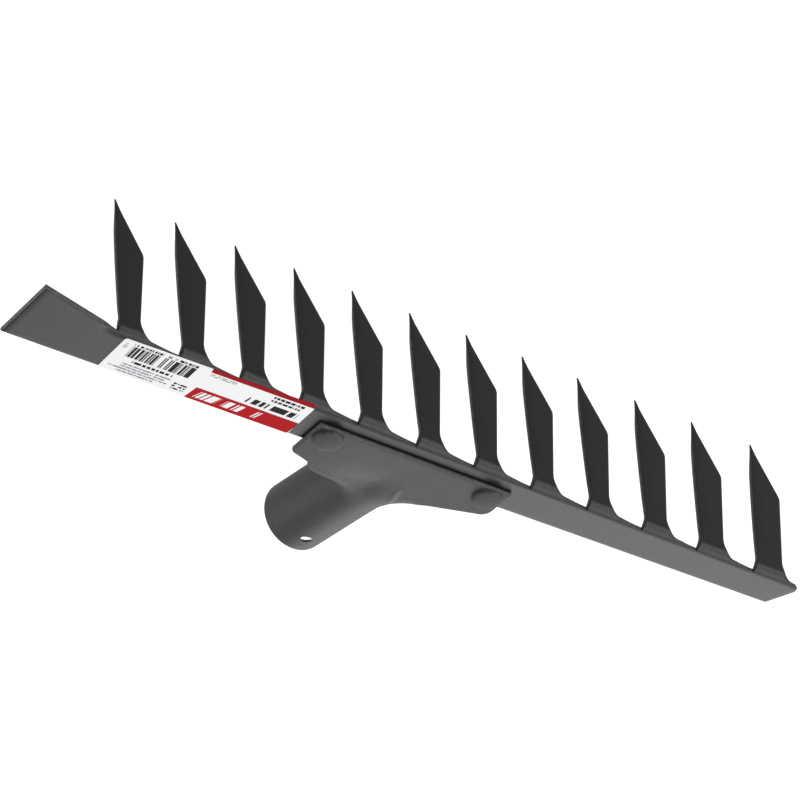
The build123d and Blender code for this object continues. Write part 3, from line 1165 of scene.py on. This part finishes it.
# ---------------------------------------------------------------------------- rivets
@dataclass
class Rivet:
    """A flat-headed rivet, set through the flange and the bar.

    Attributes:
        name: The piece's name.
        low: Lowest corner of the rivet's box in the frame, in millimetres.
        high: Highest corner of the same box.
        seed: Turns the slight unevenness of the hammered head.
    """

    name: str
    low: np.ndarray
    high: np.ndarray
    seed: int
    head_height: float = 2.1
    head_edge: float = 0.9
    tail_radius: float = 5.0
    tail_height: float = 1.6
    shank_radius: float = 3.0
    crown: float = 0.35
    uneven: float = 0.03
    # Width of the lighter ring painted round the head's rim: part rubbed paint, part painted highlight.
    rim_wear_and_highlight: float = 0.7
    steps: int = 72

    def profile(self) -> np.ndarray:
        """Half section from the top of the axis down to its foot.

        The head is a shallow dome with a rounded rim, the shank is straight and the tail is the
        same shape, smaller.

        Returns:
            Points (radius, height), shaped (points, 2).
        """
        radius = (self.high[0] - self.low[0]) / 2
        top, foot = self.high[2], self.low[2]
        dome = np.linspace(0.0, radius - self.head_edge, 9)
        dome_z = top - self.crown * (dome / radius) ** 2
        angle = np.linspace(0.0, math.pi / 2, 7)
        rim = radius - self.head_edge * (1 - np.sin(angle))
        rim_z = dome_z[-1] - self.head_edge * (1 - np.cos(angle))
        under = top - self.head_height
        tail_top = foot + self.tail_height
        tail = self.tail_radius - self.head_edge * (1 - np.cos(angle))
        tail_z = foot + self.head_edge * (1 - np.sin(angle))
        head = np.stack([np.r_[dome, rim[1:], radius], np.r_[dome_z, rim_z[1:], under]], 1)
        shank = np.array([(self.shank_radius, under), (self.shank_radius, tail_top)])
        foot_part = np.stack([np.r_[self.tail_radius, tail, 0.0], np.r_[tail_top, tail_z, foot]], 1)
        return np.concatenate([head, shank, foot_part])

    def build(self, finish: bpy.types.Material) -> bpy.types.Object:
        """Turn the profile about the axis, with a small wave round the head's rim.

        The wave is the sine of three turns plus 0.6 of the sine of five, set by the seed.

        Args:
            finish: The rivets' paint.

        Returns:
            The rivet's object.
        """
        profile = self.profile()
        turn = np.linspace(0.0, 2 * math.pi, self.steps + 1)
        wave = np.sin(3 * turn + self.seed) + 0.6 * np.sin(5 * turn + 2.3 * self.seed)
        radius = profile[:, :1] * (1.0 - self.uneven * 0.25 * (1 + wave / 1.6)[None])
        centre = (self.low + self.high) / 2
        x = centre[0] + radius * np.cos(turn)
        y = centre[1] + radius * np.sin(turn)
        points = np.stack([x, y, np.broadcast_to(profile[:, 1:], x.shape)], axis=-1)
        quads = grid_quads(np.arange(x.size).reshape(x.shape))
        # The rim of the head is painted lighter: part rubbed paint, part painted highlight.
        wear_and_highlight = np.repeat(bell(profile[:, 0], self.high[0] - centre[0], self.rim_wear_and_highlight), self.steps + 1)
        piece = mesh_object(self.name, points.reshape(-1, 3), quads, {"wear_and_highlight": wear_and_highlight})
        piece.data.materials.append(finish)
        return piece


# ----------------------------------------------------------------------------- label
class Fill(Enum):
    """How a printed rectangle is filled."""

    PLAIN = "plain"
    BARS = "bars"
    MARKS = "marks"


@dataclass(frozen=True)
class PrintBlock:
    """A printed rectangle on the label, in shares of its length (u) and width (v).

    Attributes:
        u: First and last share along the label, from the plain end of the bar.
        v: First and last share across the label, from its front edge.
        colour: Ink colour, linear.
        fill: Whether it is plain, a row of upright bars or rows of short marks.
        cell: Length of one bar or mark as a share of the label's length.
        ink: Share of the cells that are inked.
        rows: Rows of marks.
        lean: How far the sides lean along u, over the label's whole width.
    """

    u: tuple[float, float]
    v: tuple[float, float]
    colour: tuple[float, float, float]
    fill: Fill = Fill.PLAIN
    cell: float = 0.006
    ink: float = 0.55
    rows: int = 1
    lean: float = 0.0


INK_BLACK = (0.008, 0.008, 0.009)
INK_GREY = (0.11, 0.11, 0.115)
INK_RED = (0.17, 0.0025, 0.004)
INK_DARK_RED = (0.13, 0.004, 0.006)
PAPER_WHITE = (0.35, 0.355, 0.36)
EDGE_SLACK = 1e-4
ROW_SEED = 57.0
BLOCK_SEED = 200.0
MARK_HEIGHT = 0.6
PRINT = (
    PrintBlock((0.018, 0.036), (0.10, 0.26), INK_GREY, Fill.MARKS, cell=0.004, rows=3),
    PrintBlock((0.06, 0.39), (0.05, 0.11), INK_BLACK, Fill.BARS, cell=0.0035, ink=0.5),
    PrintBlock((0.06, 0.39), (0.13, 0.47), INK_BLACK, Fill.BARS, cell=0.0034, ink=0.55),
    PrintBlock((0.115, 0.33), (0.53, 0.60), INK_BLACK, Fill.MARKS, cell=0.006, ink=0.7),
    PrintBlock((0.08, 0.33), (0.66, 0.70), INK_GREY, Fill.MARKS, cell=0.004, ink=0.8),
    PrintBlock((0.08, 0.31), (0.735, 0.775), INK_GREY, Fill.MARKS, cell=0.004, ink=0.8),
    PrintBlock((0.03, 0.33), (0.81, 0.85), INK_GREY, Fill.MARKS, cell=0.004, ink=0.8),
    PrintBlock((0.08, 0.27), (0.885, 0.925), INK_GREY, Fill.MARKS, cell=0.004, ink=0.8),
    PrintBlock((0.355, 0.425), (0.70, 0.93), INK_BLACK, Fill.MARKS, cell=0.006, ink=0.7, rows=3),
    PrintBlock((0.455, 1.0), (0.0, 0.085), INK_DARK_RED),
    PrintBlock((0.455, 1.0), (0.62, 1.0), INK_RED, lean=0.03),
    PrintBlock((0.49, 0.60), (0.70, 0.92), PAPER_WHITE, Fill.BARS, cell=0.008, ink=0.5, lean=0.10),
    PrintBlock((0.63, 0.82), (0.70, 0.91), PAPER_WHITE, Fill.BARS, cell=0.0075, ink=0.55, lean=0.08),
    PrintBlock((0.70, 0.965), (0.38, 0.55), INK_BLACK, Fill.BARS, cell=0.010, ink=0.68, lean=0.04),
    PrintBlock((0.80, 0.97), (0.12, 0.19), INK_BLACK, Fill.MARKS, cell=0.005, ink=0.7),
    PrintBlock((0.80, 0.95), (0.23, 0.29), INK_BLACK, Fill.MARKS, cell=0.005, ink=0.7),
    PrintBlock((0.465, 0.60), (0.12, 0.21), INK_GREY, Fill.MARKS, cell=0.005, ink=0.7, rows=2),
)


@dataclass
class Label:
    """The printed adhesive label on the wide end of the bar, with generic bars only.

    Attributes:
        low: Lowest corner of the label's box in the frame, in millimetres.
        high: Highest corner of the same box.
        blade: The blade it is stuck to, whose fold it follows.
    """

    low: np.ndarray
    high: np.ndarray
    blade: RakeBlade
    length: float = 86.0
    width: float = 21.5
    corner: float = 1.0
    thickness: float = 0.2
    columns: int = 120
    rows: int = 44
    roughness: float = 0.7
    specular: float = 0.03

    def build(self) -> bpy.types.Object:
        """Build the label as a thin sheet with rounded corners and print it.

        The sheet is laid out flat beside the bar's slanted back edge, then bent with the blade.

        Returns:
            The label's object.
        """
        along, forward = np.meshgrid(np.linspace(0.0, 1.0, self.columns), np.linspace(0.0, 1.0, self.rows))
        gap = np.minimum(forward, 1 - forward) * self.width
        pull = self.corner - np.sqrt(self.corner**2 - np.maximum(0.0, self.corner - gap) ** 2)
        along = np.clip(along * self.length, pull, self.length - pull)
        forward = forward * self.width
        turn = math.atan(self.blade.taper)
        back_y = self.high[1] - self.length * math.sin(turn)
        x = self.low[0] + along * math.cos(turn) + forward * math.sin(turn)
        y = back_y + along * math.sin(turn) - forward * math.cos(turn)
        run = self.blade.fold_y - y
        outer = self.blade.fold(x, run, np.full_like(x, -self.thickness))
        inner = self.blade.fold(x, run, np.zeros_like(x))
        marks = {
            "print_u": np.tile((1 - along / self.length).ravel(), 2),
            "print_v": np.tile((1 - forward / self.width).ravel(), 2),
        }
        grid = SheetGrid(outer, inner, np.zeros(x.shape), tuple(Wall))
        piece = join_grids("label_sticker", [grid], marks)
        piece.data.materials.append(self.print_finish())
        return piece

    def print_finish(self) -> bpy.types.Material:
        """Make the printed paper: the blocks of ink are laid over it one by one.

        Returns:
            The label's material.
        """
        nodes = NodeKit("label_paper")
        u, v = nodes.mark("print_u"), nodes.mark("print_v")
        colour: Feed = PAPER_WHITE
        for block in PRINT:
            colour = nodes.mix_colour(self.mask(nodes, block, u, v), colour, block.colour)
        nodes.dress({"Base Color": colour, "Roughness": self.roughness, "Specular IOR Level": self.specular})
        return nodes.material

    def mask(
        self, nodes: NodeKit, block: PrintBlock, u: bpy.types.NodeSocket, v: bpy.types.NodeSocket
    ) -> bpy.types.NodeSocket:
        """Where one block is inked: a product of steps in u and v, and of random cells.

        Args:
            nodes: The material's nodes.
            block: The block to draw.
            u: Share along the label.
            v: Share across the label.

        Returns:
            1 where there is ink and 0 elsewhere.
        """
        if block.lean:
            u = nodes.math("ADD", u, nodes.math("MULTIPLY", v, block.lean))
        shift = block.lean * sum(block.v) / 2
        first, last = (value + shift for value in block.u)
        bottom, top = block.v
        mask: Feed = 1.0
        for kind, value, limit in (
            ("GREATER_THAN", u, first),
            ("LESS_THAN", u, last),
            ("GREATER_THAN", v, bottom - EDGE_SLACK),
            ("LESS_THAN", v, top + EDGE_SLACK),
        ):
            mask = nodes.math("MULTIPLY", nodes.math(kind, value, limit), mask)
        if block.fill is Fill.PLAIN:
            return mask
        row = nodes.math("DIVIDE", nodes.math("SUBTRACT", v, bottom), (top - bottom) / block.rows)
        column = nodes.math("FLOOR", nodes.math("DIVIDE", u, block.cell))
        seed = nodes.math("ADD", column, nodes.math("MULTIPLY", nodes.math("FLOOR", row), ROW_SEED))
        seed = nodes.math("ADD", seed, BLOCK_SEED * first)
        chance = nodes.node("ShaderNodeTexWhiteNoise", noise_dimensions="1D")
        nodes.feed(chance.inputs["W"], seed)
        inked = nodes.math("LESS_THAN", chance.outputs["Value"], block.ink)
        if block.rows > 1:
            marked = nodes.math("LESS_THAN", nodes.math("FRACT", row), MARK_HEIGHT)
            inked = nodes.math("MULTIPLY", inked, marked)
        return nodes.math("MULTIPLY", mask, inked)


# ---------------------------------------------------------------------------- studio
@dataclass(frozen=True)
class Panel:
    """A rectangular soft light that faces the object.

    Attributes:
        name: The light's name.
        place: Its centre, in metres from the object's centre.
        size: Its width and height, in metres.
        watts: Its power.
    """

    name: str
    place: tuple[float, float, float]
    size: tuple[float, float]
    watts: float

    def hang(self, centre: np.ndarray) -> None:
        """Hang the panel.

        Args:
            centre: The object's centre, in metres.
        """
        data = bpy.data.lights.new(self.name, "AREA")
        data.shape, data.size, data.size_y, data.energy = "RECTANGLE", *self.size, self.watts
        light = bpy.data.objects.new(self.name, data)
        where = np.array(self.place)
        back = where / np.linalg.norm(where)
        side = np.cross([0.0, 0.0, 1.0], back)
        side = side / np.linalg.norm(side)
        axes = np.stack([side, np.cross(back, side), back, centre + where], axis=1)
        light.matrix_world = Matrix([*axes.tolist(), [0.0, 0.0, 0.0, 1.0]])
        bpy.context.scene.collection.objects.link(light)


PANELS = (
    Panel("back_panel", (-1.25, 1.02, 1.1), (1.7, 1.0), 24.0),
    Panel("top_panel", (-0.85, -0.6, 1.45), (1.4, 1.2), 40.0),
    Panel("front_panel", (-0.85, -1.45, 0.55), (1.2, 0.8), 24.0),
    Panel("low_panel", (-1.15, 1.45, 0.38), (1.3, 0.6), 11.0),
    Panel("side_panel", (1.5, 1.15, 0.45), (1.3, 0.9), 33.0),
)


@dataclass
class Studio:
    """Floor, lights and camera.

    Attributes:
        low: Lowest corner of the object's box, in metres.
        high: Highest corner of the same box.
    """

    low: np.ndarray
    high: np.ndarray
    camera_azimuth: float = math.radians(34.2211)
    camera_elevation: float = math.radians(34.5745)
    camera_roll: float = math.radians(180.4525)
    camera_offset: tuple[float, float, float] = (-0.04317, 0.0475222, 2.0465229)
    lens: float = 225.0
    sensor: float = 36.0
    floor_size: float = 12.0
    floor_colour: tuple[float, float, float] = (0.15, 0.15, 0.15)
    floor_glow: float = 0.88
    surround: float = 0.95

    def place_camera(self) -> None:
        """Aim the camera: the view turned half round, so that the tines point up in it."""
        a, e = self.camera_azimuth, self.camera_elevation
        back = np.array([math.sin(a) * math.cos(e), -math.cos(a) * math.cos(e), math.sin(e)])
        right = np.array([math.cos(a), math.sin(a), 0.0])
        down = -np.cross(back, right)
        c, s = math.cos(self.camera_roll), math.sin(self.camera_roll)
        rows = np.stack([c * right + s * down, c * down - s * right, -back])
        place = -rows.T @ np.array(self.camera_offset)
        data = bpy.data.cameras.new("camera")
        data.lens, data.sensor_width = self.lens, self.sensor
        data.clip_start, data.clip_end = 0.05, 50.0
        camera = bpy.data.objects.new("camera", data)
        axes = np.stack([rows[0], -rows[1], -rows[2], place], axis=1)
        camera.matrix_world = Matrix([*axes.tolist(), [0.0, 0.0, 0.0, 1.0]])
        bpy.context.scene.collection.objects.link(camera)
        bpy.context.scene.camera = camera

    def lay_floor(self) -> None:
        """Lay a plain pale floor just under the tines."""
        size, level = self.floor_size, float(self.low[2])
        corners = [(-size, -size, level), (size, -size, level), (size, size, level), (-size, size, level)]
        mesh = bpy.data.meshes.new("floor")
        mesh.from_pydata(corners, [], [(0, 1, 2, 3)])
        floor = bpy.data.objects.new("floor", mesh)
        bpy.context.scene.collection.objects.link(floor)
        nodes = NodeKit("floor_pale")
        nodes.dress({
            "Base Color": self.floor_colour,
            "Roughness": 0.9,
            "Specular IOR Level": 0.0,
            "Emission Color": (1.0, 1.0, 1.0),
            "Emission Strength": self.floor_glow,
        })
        mesh.materials.append(nodes.material)
        floor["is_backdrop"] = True

    def light(self) -> None:
        """Light the set: a pale surround and the panels."""
        world = bpy.data.worlds.new("surround")
        world.use_nodes = True
        background = world.node_tree.nodes["Background"]
        background.inputs["Color"].default_value = (1.0, 1.0, 1.0, 1.0)
        background.inputs["Strength"].default_value = self.surround
        bpy.context.scene.world = world
        for panel in PANELS:
            panel.hang((self.low + self.high) / 2)

    def build(self) -> None:
        """Set up the camera, the floor and the lights."""
        bpy.context.scene.view_settings.view_transform = "Standard"
        self.place_camera()
        self.lay_floor()
        self.light()


def millimetres(node: str) -> tuple[np.ndarray, np.ndarray]:
    """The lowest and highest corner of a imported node's box, in millimetres."""
    low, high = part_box(node)
    return np.array(low) / METRES, np.array(high) / METRES


def main() -> None:
    """Load the frame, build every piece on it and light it."""
    logging.basicConfig(level=logging.INFO, format="%(name)s: %(message)s")
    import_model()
    cad_box = [list(corner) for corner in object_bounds()]
    blade = RakeBlade(*millimetres("rake_blade"))
    rivet_paint = RIVET_PAINT.build()
    pieces = [
        ("rake_blade", "blade_paint", blade.build()),
        ("handle_socket", "socket_paint", HandleSocket(*millimetres("handle_socket")).build()),
        ("label", "label_paper", Label(*millimetres("label"), blade).build()),
    ]
    for seed, node in enumerate(("left_rivet", "right_rivet")):
        rivet = Rivet(f"{node}_set", *millimetres(node), seed)
        pieces.append((node, "rivet_paint", rivet.build(rivet_paint)))
    for node, slot, piece in pieces:
        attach(piece, BODY)
        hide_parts(node)
        LOG.info("%s stands for %s with %d faces", piece.name, node, len(piece.data.polygons))
    Studio(*(np.array(corner) for corner in cad_box)).build()


if __name__ == "__main__":
    main()
